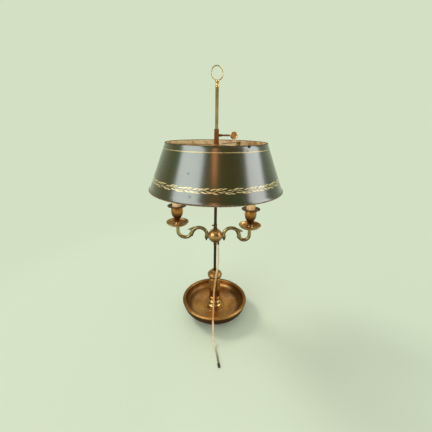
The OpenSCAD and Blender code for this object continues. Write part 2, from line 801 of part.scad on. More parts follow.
module cord_tip() {
    last = cord_route[len(cord_route) - 1];
    d = route_dir(len(cord_route) - 1);
    color("darkslategray") translate([last[0], last[1], tip_t / 2 + 0.1])
        rotate([0, 0, atan2(d[1], d[0])]) rotate([0, 90, 0]) linear_extrude(height = tip_l) union() {
            square([tip_t, tip_w - tip_t], center = true);
            for (s = [-1, 1]) translate([0, s * (tip_w - tip_t) / 2]) circle(r = tip_t / 2, $fn = 32);
        }
}

base_bowl();
base_weight();
base_felt();
base_washer();
base_nut();
column_foot();
column_shaft();
column_cap();
center_rod();
finial_ferrule();
finial_ring();
shade_shell();
shade_spider();
shade_rivets();
shade_collar();
shade_key();
hub_ball();
hub_cover();
hub_collar();
hub_set_screw();
cord_gland();
wire_junction();
on_side(true) arm(true);  // left_arm
on_side(false) arm(false);  // right_arm
on_seat(true) drip_pan();  // left_drip_pan
on_seat(false) drip_pan();  // right_drip_pan
on_seat(true) candle_cup(false);  // left_candle_cup
on_seat(false) candle_cup(true);  // right_candle_cup
on_seat(true) cup_nut();  // left_cup_nut
on_seat(false) cup_nut();  // right_cup_nut
on_seat(true) lampholder();  // left_lampholder
on_seat(false) lampholder();  // right_lampholder
on_seat(true) candle_sleeve();  // left_candle_sleeve
on_seat(false) candle_sleeve();  // right_candle_sleeve
on_seat(true) bulb_cap();  // left_bulb_cap
on_seat(false) bulb_cap();  // right_bulb_cap
on_seat(true) bulb();  // left_bulb
on_seat(false) bulb();  // right_bulb
on_side(true) lead(true);  // left_lead
on_side(false) lead(false);  // right_lead
cord();
cord_tip();
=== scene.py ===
"""Looks of a bouillotte lamp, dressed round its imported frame. Metres, +Z up.

The rod stands on the Z axis, the two arms run along X, and the cord lies towards -Y.
"""

import logging
import math
from dataclasses import dataclass
from enum import Enum, IntEnum
from functools import reduce
from itertools import product
from typing import Sequence

import bmesh
import bpy
from mathutils import Matrix, Vector


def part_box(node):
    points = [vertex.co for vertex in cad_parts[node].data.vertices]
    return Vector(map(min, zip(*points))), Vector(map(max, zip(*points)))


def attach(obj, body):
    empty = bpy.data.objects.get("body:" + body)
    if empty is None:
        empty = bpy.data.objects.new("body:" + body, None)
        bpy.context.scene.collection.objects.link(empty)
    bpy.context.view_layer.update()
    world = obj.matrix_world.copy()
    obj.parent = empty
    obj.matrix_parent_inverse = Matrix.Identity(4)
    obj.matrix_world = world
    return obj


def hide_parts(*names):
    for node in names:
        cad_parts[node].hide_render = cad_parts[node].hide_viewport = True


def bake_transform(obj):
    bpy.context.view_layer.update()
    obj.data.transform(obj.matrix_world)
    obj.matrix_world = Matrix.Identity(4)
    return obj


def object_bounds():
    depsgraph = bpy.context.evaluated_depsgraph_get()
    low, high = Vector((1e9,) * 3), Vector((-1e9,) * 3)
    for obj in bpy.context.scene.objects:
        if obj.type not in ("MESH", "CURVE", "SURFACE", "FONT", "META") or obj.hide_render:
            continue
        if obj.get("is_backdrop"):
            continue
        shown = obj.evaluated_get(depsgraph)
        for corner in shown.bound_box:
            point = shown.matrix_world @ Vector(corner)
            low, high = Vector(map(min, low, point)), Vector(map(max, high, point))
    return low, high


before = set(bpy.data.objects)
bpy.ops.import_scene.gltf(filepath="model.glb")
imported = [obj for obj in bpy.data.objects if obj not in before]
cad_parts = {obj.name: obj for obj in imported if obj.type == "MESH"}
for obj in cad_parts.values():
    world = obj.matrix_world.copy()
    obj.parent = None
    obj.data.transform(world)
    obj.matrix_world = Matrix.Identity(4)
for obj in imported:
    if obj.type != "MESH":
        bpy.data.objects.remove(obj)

log = logging.getLogger("lamp")

Socket = bpy.types.NodeSocket
Material = bpy.types.Material
Piece = bpy.types.Object
Pair = tuple[float, float]
Point = tuple[float, float, float]
Rgb = tuple[float, float, float]
Steps = tuple[int, int, int]

MM = 0.001
# Knock on the shade's top edge that has lost its paint.
NICK = (0.069, -0.1078, 0.5195)


def srgb(red: int, green: int, blue: int) -> Rgb:
    """Turns a colour written in 0-255 steps into the linear values that shaders read."""
    steps = [c / 255 for c in (red, green, blue)]
    return tuple(c / 12.92 if c <= 0.04045 else ((c + 0.055) / 1.055) ** 2.4 for c in steps)


# Dark metal where paint is lost.
BARE = srgb(20, 16, 13)


def rgba(colour: Rgb) -> tuple[float, float, float, float]:
    """Adds a full alpha to a colour."""
    return (*colour, 1.0)


class Graph:
    """Node tree of one material or world, with a short call for each kind of node in use."""

    def __init__(self, owner: bpy.types.ID) -> None:
        """Clears the owner's tree.

        Args:
            owner: The material or world whose nodes are written.
        """
        owner.use_nodes = True
        self.tree = owner.node_tree
        self.tree.nodes.clear()

    def node(self, kind: str, inputs: dict | None = None, **settings: object) -> bpy.types.Node:
        """Adds a node.

        Args:
            kind: Node type without its ShaderNode prefix.
            inputs: Socket name or index to a value or an output socket.
            **settings: Properties of the node itself.

        Returns:
            The new node.
        """
        made = self.tree.nodes.new("ShaderNode" + kind)
        for name, value in settings.items():
            setattr(made, name, value)
        for key, value in (inputs or {}).items():
            socket = made.inputs[key]
            if isinstance(value, Socket):
                self.tree.links.new(value, socket)
            else:
                socket.default_value = value
        return made

    def place(self) -> Socket:
        """Returns the Object coordinates."""
        return self.node("TexCoord").outputs["Object"]

    def math(self, operation: str, first: object, second: object = 0.0, clamp: bool = False) -> Socket:
        """Combines two numbers and keeps the result from 0 to 1 if asked."""
        made = self.node("Math", {0: first, 1: second}, operation=operation, use_clamp=clamp)
        return made.outputs[0]

    def times(self, first: object, second: object) -> Socket:
        """Multiplies two numbers."""
        return self.math("MULTIPLY", first, second)

    def plus(self, first: object, second: object, clamp: bool = False) -> Socket:
        """Adds two numbers and keeps the sum from 0 to 1 if asked."""
        return self.math("ADD", first, second, clamp)

    def minus(self, first: object, second: object) -> Socket:
        """Takes the second number from the first."""
        return self.math("SUBTRACT", first, second)

    def most(self, *numbers: object) -> Socket:
        """Returns the largest of the numbers."""
        return reduce(lambda a, b: self.math("MAXIMUM", a, b), numbers)

    def weigh(self, *terms: tuple[object, object]) -> Socket:
        """Adds numbers, each times its weight."""
        return reduce(self.plus, [self.times(value, weight) for value, weight in terms])

    def parts(self, vector: Socket) -> tuple:
        """Splits a vector into its X, Y and Z sockets."""
        return tuple(self.node("SeparateXYZ", {0: vector}).outputs)

    def vector(self, x: object, y: object, z: object) -> Socket:
        """Joins three numbers into a vector."""
        return self.node("CombineXYZ", {0: x, 1: y, 2: z}).outputs[0]

    def round_axis(self, centre: Pair) -> tuple:
        """Gives cylinder coordinates about an upright axis.

        Args:
            centre: X and Y of the axis.

        Returns:
            Radius, angle from -pi to pi, and height.
        """
        x, y, z = self.parts(self.place())
        x, y = self.minus(x, centre[0]), self.minus(y, centre[1])
        return self.math("SQRT", self.weigh((x, x), (y, y))), self.math("ARCTAN2", y, x), z

    def noise(self, vector: object, scale: float, detail: float = 2, roughness: float = 0.5,
              distortion: float = 0.0) -> Socket:
        """Returns a noise, about 0.3 to 0.7, with its scale in features per metre."""
        made = self.node("TexNoise", {"Vector": vector, "Scale": scale, "Detail": detail,
                                      "Roughness": roughness, "Distortion": distortion})
        return made.outputs["Fac"]

    def spread(self, value: object, low: float, high: float, to_low: float = 0.0,
               to_high: float = 1.0) -> Socket:
        """Maps a number smoothly from low..high to to_low..to_high and clamps it."""
        made = self.node("MapRange", {"Value": value, "From Min": low, "From Max": high,
                                      "To Min": to_low, "To Max": to_high},
                         interpolation_type="SMOOTHSTEP")
        return made.outputs["Result"]

    def vary(self, noise: Socket, low: float, high: float) -> Socket:
        """Maps a noise from the range that it fills, 0.3 to 0.7, to another."""
        return self.spread(noise, 0.3, 0.7, low, high)

    def blend(self, share: object, first: object, second: object) -> Socket:
        """Mixes two colours.

        Args:
            share: 0 gives the first colour and 1 the second.
            first: A colour or a socket.
            second: A colour or a socket.

        Returns:
            The mixed colour.
        """
        made = self.node("Mix", data_type="RGBA")
        for socket, value in zip((made.inputs[i] for i in (0, 6, 7)), (share, first, second)):
            if isinstance(value, Socket):
                self.tree.links.new(value, socket)
            else:
                socket.default_value = rgba(value) if isinstance(value, tuple) else value
        return made.outputs[2]

    def crevice(self, depth: float) -> Socket:
        """Returns 1 in hollows up to a depth in metres, and 0 on open surfaces."""
        shade = self.node("AmbientOcclusion", {"Distance": depth}, samples=6, only_local=True)
        return self.spread(shade.outputs["AO"], 0.85, 0.45)

    def near(self, point: Point, radius: float) -> Socket:
        """Returns 1 at a point and 0 past a radius in metres."""
        apart = self.node("VectorMath", {0: self.place(), 1: point}, operation="DISTANCE")
        return self.spread(apart.outputs["Value"], radius, radius * 0.35)

    def downwards(self) -> Socket:
        """Returns 1 on the faces that look straight down and 0 on upright and upper ones."""
        facing = self.parts(self.node("TexCoord").outputs["Normal"])[2]
        return self.spread(facing, 0.05, -0.22)

    def bump(self, height: object, depth: float, strength: float) -> Socket:
        """Turns a height into a normal, where a height of 1 stands for the depth in metres."""
        return self.node("Bump", {"Height": height, "Distance": depth, "Strength": strength}).outputs[0]

    def surface(self, inputs: dict) -> None:
        """Ends the tree in a Principled shader with the given sockets."""
        shader = self.node("BsdfPrincipled", inputs)
        self.node("OutputMaterial", {"Surface": shader.outputs[0]})


@dataclass(frozen=True)
class Finish:
    """A material that is written once.

    Attributes:
        name: Material name.
    """

    name: str

    def paint(self, graph: Graph) -> None:
        """Writes the nodes into a material's graph. Each kind of finish has its own."""
        raise NotImplementedError

    def build(self) -> Material:
        """Writes the material.

        Returns:
            The finished material.
        """
        material = bpy.data.materials.new(self.name)
        self.paint(Graph(material))
        return material


class Grain(Enum):
    """How the fine tool marks of a metal run."""

    TURNED = "rings round the piece's upright axis"
    DRAWN = "lines along the piece's length, which is upright"
    CAST = "no direction"


@dataclass(frozen=True)
class Brass(Finish):
    """Brass with its age and painted shade: a bright ground, brown tarnish in clouds and hollows, fine tool
    marks.

    Attributes:
        bright: Colour where it is rubbed.
        dull: Colour of the tarnish.
        warm: Colour of the coppery blotches.
        tarnish: Share of the surface that has gone dull, 0 to 1.
        rough: Lowest and highest roughness.
        grain: Run of the tool marks.
        axis: X and Y of the upright axis that turned marks go round.
        cloud: Tarnish clouds per metre.
        hollow: Size of the hollows that hold dirt.
        under: Share of painted shade on the faces that look down.
        darkens: Heights where painted shade begins and where it is full, if it has such a place.
        darkest: Share of painted shade at its full height.
        lacquer: Share of the surface that still has its clear lacquer.
        stains: Middles of large dark stains.
        stain_r: Radius of the stains.
    """

    bright: Rgb
    dull: Rgb
    warm: Rgb
    tarnish: float
    rough: Pair
    grain: Grain = Grain.TURNED
    axis: Pair = (0.0, 0.0)
    cloud: float = 22.0
    hollow: float = 0.004
    # under, darkens and darkest paint shade: a darker colour on faces that look down and over given heights.
    under: float = 0.6
    darkens: Pair | None = None
    darkest: float = 1.0
    lacquer: float = 0.7
    stains: tuple[Point, ...] = ()
    stain_r: float = 0.02

    def marks(self, graph: Graph) -> Socket:
        """Draws the tool marks.

        Args:
            graph: The material's nodes.

        Returns:
            Their height.
        """
        if self.grain is Grain.CAST:
            return graph.noise(graph.place(), 900, 4, 0.6)
        radius, _, z = graph.round_axis(self.axis)
        if self.grain is Grain.TURNED:
            return graph.noise(graph.vector(radius, 0.0, z), 1400)
        x, y, z = graph.parts(graph.place())
        return graph.noise(graph.vector(x, y, graph.times(z, 0.03)), 1600)

    def dirt(self, graph: Graph) -> Socket:
        """Lays painted shade under the piece and over a height, and dark dirt in stains.

        Args:
            graph: The material's nodes.

        Returns:
            The share of painted shade and dirt.
        """
        # Painted shade on the faces that look down.
        shade_and_dirt = graph.times(graph.downwards(), self.under)
        # Painted shade over a height, such as the rod under the shade and a cup's lip.
        if self.darkens:
            dark = graph.spread(graph.parts(graph.place())[2], *self.darkens, 0.0, self.darkest)
            shade_and_dirt = graph.most(shade_and_dirt, dark)
        return graph.most(shade_and_dirt, *(graph.times(graph.near(p, self.stain_r), 0.8) for p in self.stains))

    def paint(self, graph: Graph) -> None:
        """Writes the nodes.

        Args:
            graph: The material's nodes.
        """
        place = graph.place()
        clouds = graph.noise(place, self.cloud, 5, 0.62, 0.4)
        spots = graph.noise(place, self.cloud * 9, 3, 0.6)
        edge = 0.66 - 0.32 * self.tarnish
        mask = graph.spread(graph.weigh((clouds, 0.7), (spots, 0.3)), edge - 0.2, edge + 0.16)
        mask = graph.most(graph.times(mask, 0.7), graph.times(graph.crevice(self.hollow), 0.9))
        patches = graph.spread(graph.noise(place, self.cloud * 1.9, 3, 0.5, 0.8), 0.5, 0.7)
        ground = graph.blend(graph.times(patches, 0.6), self.bright, self.warm)
        colour = graph.blend(graph.times(mask, 0.9), ground, self.dull)
        shade_and_dirt = self.dirt(graph)
        # Painted shade and dirt pull the colour towards the dark tarnish colour.
        colour = graph.blend(shade_and_dirt, colour, tuple(c * 0.3 for c in self.dull))
        marks = self.marks(graph)
        rough = graph.plus(graph.spread(mask, 0.0, 1.0, *self.rough), graph.times(shade_and_dirt, 0.18))
        rough = graph.plus(rough, graph.times(graph.minus(marks, 0.5), 0.16), True)
        uneven = graph.noise(place, self.cloud * 4)
        height = graph.weigh((marks, 0.5), (uneven, 1.2))
        graph.surface({"Base Color": colour, "Metallic": 1.0, "Roughness": rough,
                       "Coat Weight": graph.times(graph.minus(1.0, shade_and_dirt), self.lacquer),
                       "Coat Roughness": 0.2, "Coat IOR": 1.55,
                       "Normal": graph.bump(height, 0.00012, 0.5)})


@dataclass(frozen=True)
class DishBrass(Brass):
    """Brass of a dish with painted shade on both sides of its wall and on the back of its rim, so that only
    the front of the rim is bright.

    Attributes:
        foot_r: Radii where the wall's painted shade begins and is full.
        rim_r: Radii where the wall ends and the rim begins.
        sides: Distances to left and right where the wall's painted shade begins and is full.
        front: Y where the rim's painted shade begins and where it is full.
    """

    foot_r: Pair = (0.064, 0.078)
    rim_r: Pair = (0.0895, 0.0925)
    sides: Pair = (0.03, 0.062)
    front: Pair = (-0.085, -0.04)

    def dirt(self, graph: Graph) -> Socket:
        """Adds painted shade on both sides of the wall and on the back of the rim.

        Args:
            graph: The material's nodes.

        Returns:
            The share of painted shade and dirt.
        """
        radius, _, _ = graph.round_axis(self.axis)
        x, y, _ = graph.parts(graph.place())
        # Painted shade: dark reflections on both sides of the wall, and the back of the rim darkened so that
        # only its front shines.
        ends = graph.spread(radius, *self.rim_r)
        wall = graph.times(graph.spread(radius, *self.foot_r), graph.minus(1.0, ends))
        wall = graph.times(wall, graph.spread(graph.math("ABSOLUTE", x), *self.sides, 0.0, 0.75))
        rim = graph.times(ends, graph.spread(y, *self.front, 0.0, 0.5))
        return graph.most(super().dirt(graph), wall, rim)


@dataclass(frozen=True)
class Enamel(Finish):
    """Dark green gloss enamel on sheet metal, brushed by hand and a little worn.

    Attributes:
        green: Main colour.
        olive: Browner colour of the thin places.
        bare: Colour where the enamel is lost.
        dents: Places of small dents in the sheet.
        dent_r: Radius of the dents.
        nick: Place of a knock on the top edge that has lost its enamel.
        nick_r: Radius of the nick.
    """

    name: str = "green_enamel"
    green: Rgb = srgb(54, 64, 22)
    olive: Rgb = srgb(66, 56, 14)
    bare: Rgb = BARE
    dents: tuple[Point, ...] = ((-0.0575, -0.138, 0.4638), (-0.0534, -0.1581, 0.4196))
    dent_r: float = 0.0045
    nick: Point = NICK
    nick_r: float = 0.0075

    def paint(self, graph: Graph) -> None:
        """Writes the nodes.

        Args:
            graph: The material's nodes.
        """
        place = graph.place()
        _, angle, z = graph.round_axis((0.0, 0.0))
        streaks = graph.noise(graph.vector(graph.times(angle, 0.012), 0.0, z), 420, 3, 0.6)
        clouds = graph.noise(place, 9, 4, 0.6, 0.5)
        tone = graph.weigh((streaks, 0.35), (clouds, 0.65))
        colour = graph.blend(graph.spread(tone, 0.42, 0.6), self.green, self.olive)
        chips = graph.spread(graph.noise(place, 260), 0.76, 0.775)
        ragged = graph.times(graph.noise(place, 420), 2.0)
        nick = graph.times(graph.near(self.nick, self.nick_r), ragged)
        chips = graph.most(chips, graph.spread(nick, 0.35, 0.5))
        colour = graph.blend(chips, colour, self.bare)
        height = graph.plus(graph.noise(place, 22), graph.times(streaks, 0.12))
        height = graph.plus(height, graph.times(graph.noise(place, 1500), 0.02))
        height = graph.minus(height, graph.times(chips, 0.5))
        lost = chips
        for dent in self.dents:
            mark = graph.near(dent, self.dent_r)
            lost = graph.most(lost, graph.times(mark, 0.3))
            height = graph.minus(height, graph.times(mark, 1.6))
            colour = graph.blend(graph.times(mark, 0.8), colour, self.bare)
        rough = graph.vary(graph.noise(place, 60, 4, 0.6), 0.34, 0.5)
        graph.surface({"Base Color": colour, "Roughness": rough, "Specular IOR Level": 0.15,
                       "Coat Weight": graph.minus(1.0, lost), "Coat Roughness": 0.21, "Coat IOR": 2.0,
                       "Normal": graph.bump(height, 0.0003, 0.6)})


@dataclass(frozen=True)
class Gilding(Finish):
    """Gold paint, thin enough for the ground to show through in places.

    Attributes:
        gold: Colour of the full layer.
        worn: Colour where it is rubbed through.
        wear: Share that is rubbed, 0 to 1.
        rough: Roughness of the layer.
        nick: Place of a knock that has lost the layer, if it has one.
        nick_r: Radius of the nick.
    """

    gold: Rgb
    worn: Rgb
    wear: float
    rough: float = 0.4
    nick: Point | None = None
    nick_r: float = 0.0062

    def paint(self, graph: Graph) -> None:
        """Writes the nodes.

        Args:
            graph: The material's nodes.
        """
        place = graph.place()
        edge = 0.7 - 0.3 * self.wear
        mask = graph.spread(graph.noise(place, 170, 4, 0.7), edge - 0.06, edge + 0.1)
        colour = graph.blend(mask, self.gold, self.worn)
        if self.nick:
            lost = graph.near(self.nick, self.nick_r)
            colour = graph.blend(lost, colour, BARE)
            mask = graph.most(mask, lost)
        strokes = graph.noise(place, 700, 3, 0.6)
        graph.surface({"Base Color": colour, "Metallic": graph.spread(mask, 0.0, 1.0, 0.6, 0.2),
                       "Roughness": graph.vary(strokes, self.rough - 0.08, self.rough + 0.12),
                       "Normal": graph.bump(strokes, 0.0001, 0.5)})


@dataclass(frozen=True)
class Plain(Finish):
    """A plain moulded, cast, woven or glazed material with fine unevenness.

    Attributes:
        colour: Main colour.
        shade: Colour of its darker flecks.
        rough: Roughness.
        grain: Flecks per metre.
        depth: Depth of the grain in metres.
        metallic: Whether it is a metal.
        glow: Share of light that scatters below the surface.
        sheen: Strength of a soft nap.
    """

    colour: Rgb
    shade: Rgb
    rough: float
    grain: float
    depth: float = 0.00005
    metallic: bool = False
    glow: float = 0.0
    sheen: float = 0.0

    def paint(self, graph: Graph) -> None:
        """Writes the nodes.

        Args:
            graph: The material's nodes.
        """
        place = graph.place()
        flecks = graph.noise(place, self.grain, 4, 0.6)
        clouds = graph.noise(place, self.grain * 0.08, 3, 0.5)
        tone = graph.spread(graph.weigh((flecks, 0.5), (clouds, 0.5)), 0.42, 0.62)
        sockets = {"Base Color": graph.blend(tone, self.colour, self.shade), "Metallic": float(self.metallic),
                   "Roughness": graph.vary(flecks, self.rough - 0.06, self.rough + 0.08),
                   "Sheen Weight": self.sheen, "Normal": graph.bump(flecks, self.depth, 0.6)}
        if self.glow:
            sockets.update({"Subsurface Weight": self.glow, "Subsurface Scale": 0.002})
        graph.surface(sockets)


@dataclass(frozen=True)
class CordVinyl(Finish):
    """Clear aged vinyl over gold-coloured cores, with painted light where it hangs and painted shade towards
    the far end.

    Attributes:
        gold: Colour near the lamp.
        pale: Paler colour of the hanging part, painted light.
        lit_z: Heights where the painted light begins and is full over the dish.
        lit_y: Y where the painted light begins and is full in front of the dish.
        shaded_grey: Colour near the far end, painted shade.
        shaded_y: Y where the painted shade begins and is full.
        dirt: Colour of the dirt.
    """

    name: str = "cord_vinyl"
    gold: Rgb = srgb(196, 152, 92)
    pale: Rgb = srgb(220, 200, 168)
    lit_z: Pair = (0.11, 0.17)
    lit_y: Pair = (-0.1, -0.12)
    shaded_grey: Rgb = srgb(126, 124, 94)
    shaded_y: Pair = (-0.145, -0.19)
    dirt: Rgb = srgb(120, 100, 66)

    def paint(self, graph: Graph) -> None:
        """Writes the nodes.

        Args:
            graph: The material's nodes.
        """
        place = graph.place()
        _, y, z = graph.parts(place)
        # Painted light on the hanging part and painted shade at the far end.
        pale = graph.most(graph.spread(z, *self.lit_z), graph.spread(y, *self.lit_y))
        colour = graph.blend(pale, self.gold, self.pale)
        colour = graph.blend(graph.spread(y, *self.shaded_y), colour, self.shaded_grey)
        dirty = graph.spread(graph.noise(place, 240, 4, 0.65), 0.5, 0.7)
        colour = graph.blend(graph.times(dirty, 0.4), colour, self.dirt)
        rough = graph.vary(graph.noise(place, 500), 0.26, 0.42)
        graph.surface({"Base Color": colour, "Roughness": rough, "Coat Weight": 0.4, "Coat Roughness": 0.2,
                       "Subsurface Weight": 0.25, "Subsurface Scale": 0.002})


# --- studio


class SeenIn(Enum):
    """Which part of the look a lamp gives."""

    GLOSS = "reflections alone"
    LIGHT = "plain light alone"


@dataclass(frozen=True)
class Softbox:
    """A soft lamp that looks at the object.

    Attributes:
        name: Lamp name.
        azimuth: Degrees from the front (-Y), positive towards +X.
        elevation: Degrees over the horizon, seen from the middle of the lamp.
        distance: Metres from the middle of the lamp.
        size: Width and height in metres.
        radiance: Brightness of its face, where 1 is a white wall in plain light.
        colour: Its tint.
        seen_in: Which part of the look it gives.
        lean: Degrees that its top leans to the right, seen from the lamp that it lights.
    """

    name: str
    azimuth: float
    elevation: float
    distance: float
    size: Pair
    radiance: float
    colour: Rgb
    seen_in: SeenIn = SeenIn.GLOSS
    lean: float = 0.0

    def build(self, middle: Vector) -> None:
        """Hangs the lamp.

        Args:
            middle: The point that it looks at.
        """
        turn, rise = math.radians(self.azimuth), math.radians(self.elevation)
        out = Vector((math.sin(turn) * math.cos(rise), -math.cos(turn) * math.cos(rise), math.sin(rise)))
        light = bpy.data.lights.new(self.name, "AREA")
        light.shape = "RECTANGLE"
        light.size, light.size_y = self.size
        light.energy = self.radiance * math.pi * self.size[0] * self.size[1]
        light.color = self.colour
        lamp = bpy.data.objects.new(self.name, light)
        lamp.location = middle + out * self.distance
        lean = Matrix.Rotation(math.radians(self.lean), 3, out)
        lamp.rotation_euler = (lean @ out.to_track_quat("Z", "Y").to_matrix()).to_euler()
        lamp.visible_camera = False
        lamp.visible_diffuse = self.seen_in is SeenIn.LIGHT
        lamp.visible_glossy = self.seen_in is SeenIn.GLOSS
        bpy.context.scene.collection.objects.link(lamp)


@dataclass(frozen=True)
class Studio:
    """Pale floor and backdrop, soft lamps and the camera.

    Attributes:
        pale: Colour of floor and backdrop.
        lit: Tint of the floor where the lamps light it.
        floor_r: Radius of the floor.
        pool_at: X and Y of the middle of the floor's lit place.
        pool_r: Distances from there where the even floor begins and is full.
        left_x: X where the even floor begins and is full on the left.
        near_even: Share of the even floor in the middle of the lit place.
        left_even: Share of the even floor on the left.
        behind: Y of a direction where the backdrop begins and is full.
        low: Z of a direction where the backdrop ends and is full.
        band_y: Y of a direction where the wall begins and is full.
        band_z: Z of a direction where the wall ends and is full.
        room: Colour of the unlit room behind the camera and overhead, seen only in gloss.
        wall: Colour of the wall far behind the camera, a low band seen only in gloss.
        light: Colour of the even light.
        ambient: Strength of the even light.
        camera_at: Place of the camera.
        camera_down: Degrees that it looks down.
        camera_roll: Degrees that it is turned about its own axis.
        lens: Focal length in millimetres on a sensor 36 wide.
    """

    pale: Rgb = srgb(211, 224, 196)
    lit: Rgb = (1.0, 1.005, 1.035)
    floor_r: float = 14.0
    pool_at: Pair = (0.08, -0.08)
    pool_r: Pair = (0.16, 1.1)
    left_x: Pair = (-0.03, -0.14)
    near_even: float = 0.08
    left_even: float = 0.7
    behind: Pair = (-0.2, 1.1)
    low: Pair = (0.9, 0.35)
    band_y: Pair = (-0.3, -0.8)
    band_z: Pair = (0.3, 0.12)
    room: Rgb = srgb(40, 35, 20)
    wall: Rgb = srgb(140, 128, 96)
    light: Rgb = (1.0, 0.99, 0.96)
    ambient: float = 0.74
    camera_at: Point = (0.0014, -0.646, 0.557)
    camera_down: float = 20.1
    camera_roll: float = 0.78
    lens: float = 20.42

    def shown(self, graph: Graph) -> Socket:
        """Returns 1 for the rays that see the background: camera, glossy and transmission."""
        path = graph.node("LightPath").outputs
        return graph.most(*(path[f"Is {kind} Ray"] for kind in ("Camera", "Glossy", "Transmission")))

    def floor(self) -> None:
        """Lays the floor: lit and shadowed near the lamp, even and pale further out and to its left."""
        bpy.ops.mesh.primitive_circle_add(vertices=96, radius=self.floor_r, fill_type="NGON")
        floor = bpy.context.object
        floor.name = "floor"
        material = bpy.data.materials.new("pale_floor")
        graph = Graph(material)
        distance, _, _ = graph.round_axis(self.pool_at)
        left = graph.spread(graph.parts(graph.place())[0], *self.left_x, 0.0, self.left_even)
        far = graph.most(graph.spread(distance, *self.pool_r, self.near_even, 1.0), left)
        far = graph.times(far, self.shown(graph))
        lit = graph.node("BsdfDiffuse", {"Color": rgba(tuple(c * k for c, k in zip(self.pale, self.lit)))})
        even = graph.node("Emission", {"Color": rgba(self.pale), "Strength": 1.0})
        mixed = graph.node("MixShader", {0: far, 1: lit.outputs[0], 2: even.outputs[0]})
        graph.node("OutputMaterial", {"Surface": mixed.outputs[0]})
        floor.data.materials.append(material)
        floor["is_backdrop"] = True

    def world(self) -> None:
        """Fills the world: even light, the pale backdrop where it is seen, a dim room in gloss."""
        world = bpy.data.worlds.new("studio")
        bpy.context.scene.world = world
        graph = Graph(world)
        path = graph.node("LightPath").outputs
        _, y, z = graph.parts(graph.node("TexCoord").outputs["Generated"])
        behind = graph.times(graph.spread(y, *self.behind), graph.spread(z, *self.low))
        backdrop = graph.most(behind, path["Is Camera Ray"])
        band = graph.times(graph.spread(z, *self.band_z), graph.spread(y, *self.band_y))
        seen = graph.blend(backdrop, graph.blend(band, self.room, self.wall), self.pale)
        colour = graph.blend(self.shown(graph), self.light, seen)
        strength = graph.spread(self.shown(graph), 0.0, 1.0, self.ambient, 1.0)
        light = graph.node("Background", {"Color": colour, "Strength": strength})
        graph.node("OutputWorld", {"Surface": light.outputs[0]})
        world.cycles.sampling_method = "NONE"

    def lamps(self) -> None:
        """Hangs the lamps round the object."""
        low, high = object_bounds()
        middle = (low + high) / 2
        for box in (
            Softbox("left_window", -52.8, 26, 3.5, (2.8, 2.6), 3.95, (0.92, 1.0, 0.985)),
            Softbox("right_window", 84.0, 28, 3.5, (1.9, 3.2), 3.7, (0.95, 1.0, 0.99), lean=-45),
            Softbox("back_window", 180, 48, 3.0, (2.4, 0.45), 2.2, (1.0, 0.95, 0.85)),
            Softbox("warm_curtain", -3, 42, 2.4, (0.3, 0.95), 4.0, (1.0, 0.36, 0.14)),
            Softbox("ceiling", 0, 66, 1.6, (1.4, 0.5), 1.8, (1.0, 0.92, 0.8)),
            Softbox("front_fill", -34, 6, 3.5, (1.5, 1.0), 7.5, (1.0, 0.97, 0.92), SeenIn.LIGHT),
            Softbox("shadow_light", -120, 40, 5.0, (1.4, 1.4), 18.0, (1.0, 0.98, 0.94), SeenIn.LIGHT),
        ):
            box.build(middle)

    def camera(self) -> None:
        """Sets up the camera."""
        data = bpy.data.cameras.new("camera")
        data.sensor_width = 36.0
        data.lens = self.lens
        camera = bpy.data.objects.new("camera", data)
        turn = Matrix.Rotation(math.radians(90 - self.camera_down), 4, "X")
        roll = Matrix.Rotation(math.radians(self.camera_roll), 4, "Z")
        camera.matrix_world = Matrix.Translation(self.camera_at) @ turn @ roll
        bpy.context.scene.collection.objects.link(camera)
        bpy.context.scene.camera = camera

    def build(self) -> None:
        """Makes the whole studio."""
        bpy.context.scene.view_settings.view_transform = "Standard"
        self.camera()
        self.floor()
        self.world()
        self.lamps()


# --- modelling


def deselect() -> None:
    """Leaves every object unselected."""
    for item in bpy.context.selected_objects:
        item.select_set(False)


def only(piece: Piece) -> None:
    """Makes a piece the only selected and active one.

    Args:
        piece: The piece.
    """
    deselect()
    piece.select_set(True)
    bpy.context.view_layer.objects.active = piece


def settle(name: str, work: bmesh.types.BMesh) -> Piece:
    """Makes a piece of a finished mesh and selects it alone.

    Args:
        name: Name of the piece.
        work: The mesh, which is freed.

    Returns:
        The piece.
    """
    piece = bpy.data.objects.new(name, bpy.data.meshes.new(name))
    work.to_mesh(piece.data)
    work.free()
    bpy.context.scene.collection.objects.link(piece)
    only(piece)
    return piece


def dress(piece: Piece, materials: Sequence[Material]) -> None:
    """Gives a piece its materials in place of those it has.

    Args:
        piece: A mesh or a CAD node.
        materials: The materials in slot order.
    """
    piece.data.materials.clear()
    for material in materials:
        piece.data.materials.append(material)


def lathe(name: str, outline: Sequence[Pair], steps: int = 192) -> Piece:
    """Turns a closed outline about the Z axis, as on a lathe.

    Args:
        name: Name of the piece.
        outline: Radius and height of each point, outwards first.
        steps: Divisions round the axis.

    Returns:
        The turned piece.
    """
    deselect()
    bpy.ops.mesh.primitive_plane_add(size=MM, location=(0, 0, 0))
    piece = bpy.context.object
    piece.name = name
    bpy.ops.object.mode_set(mode="EDIT")
    bpy.ops.mesh.merge(type="CENTER")
    first, *others = (Vector((radius, 0, height)) for radius, height in outline)
    bpy.ops.transform.translate(value=first)
    for last, point in zip([first, *others], others):
        bpy.ops.mesh.extrude_region_move(TRANSFORM_OT_translate={"value": point - last})
    work = bmesh.from_edit_mesh(piece.data)
    work.edges.new([v for v in work.verts if len(v.link_edges) == 1])
    bmesh.update_edit_mesh(piece.data)
    bpy.ops.mesh.select_all(action="SELECT")
    bpy.ops.mesh.spin(steps=steps, angle=2 * math.pi, center=(0, 0, 0), axis=(0, 0, 1))
    bpy.ops.mesh.select_all(action="SELECT")
    bpy.ops.mesh.remove_doubles(threshold=1e-6)
    bpy.ops.mesh.normals_make_consistent(inside=False)
    bpy.ops.object.mode_set(mode="OBJECT")
    bpy.ops.object.shade_smooth_by_angle(angle=math.radians(40))
    return piece


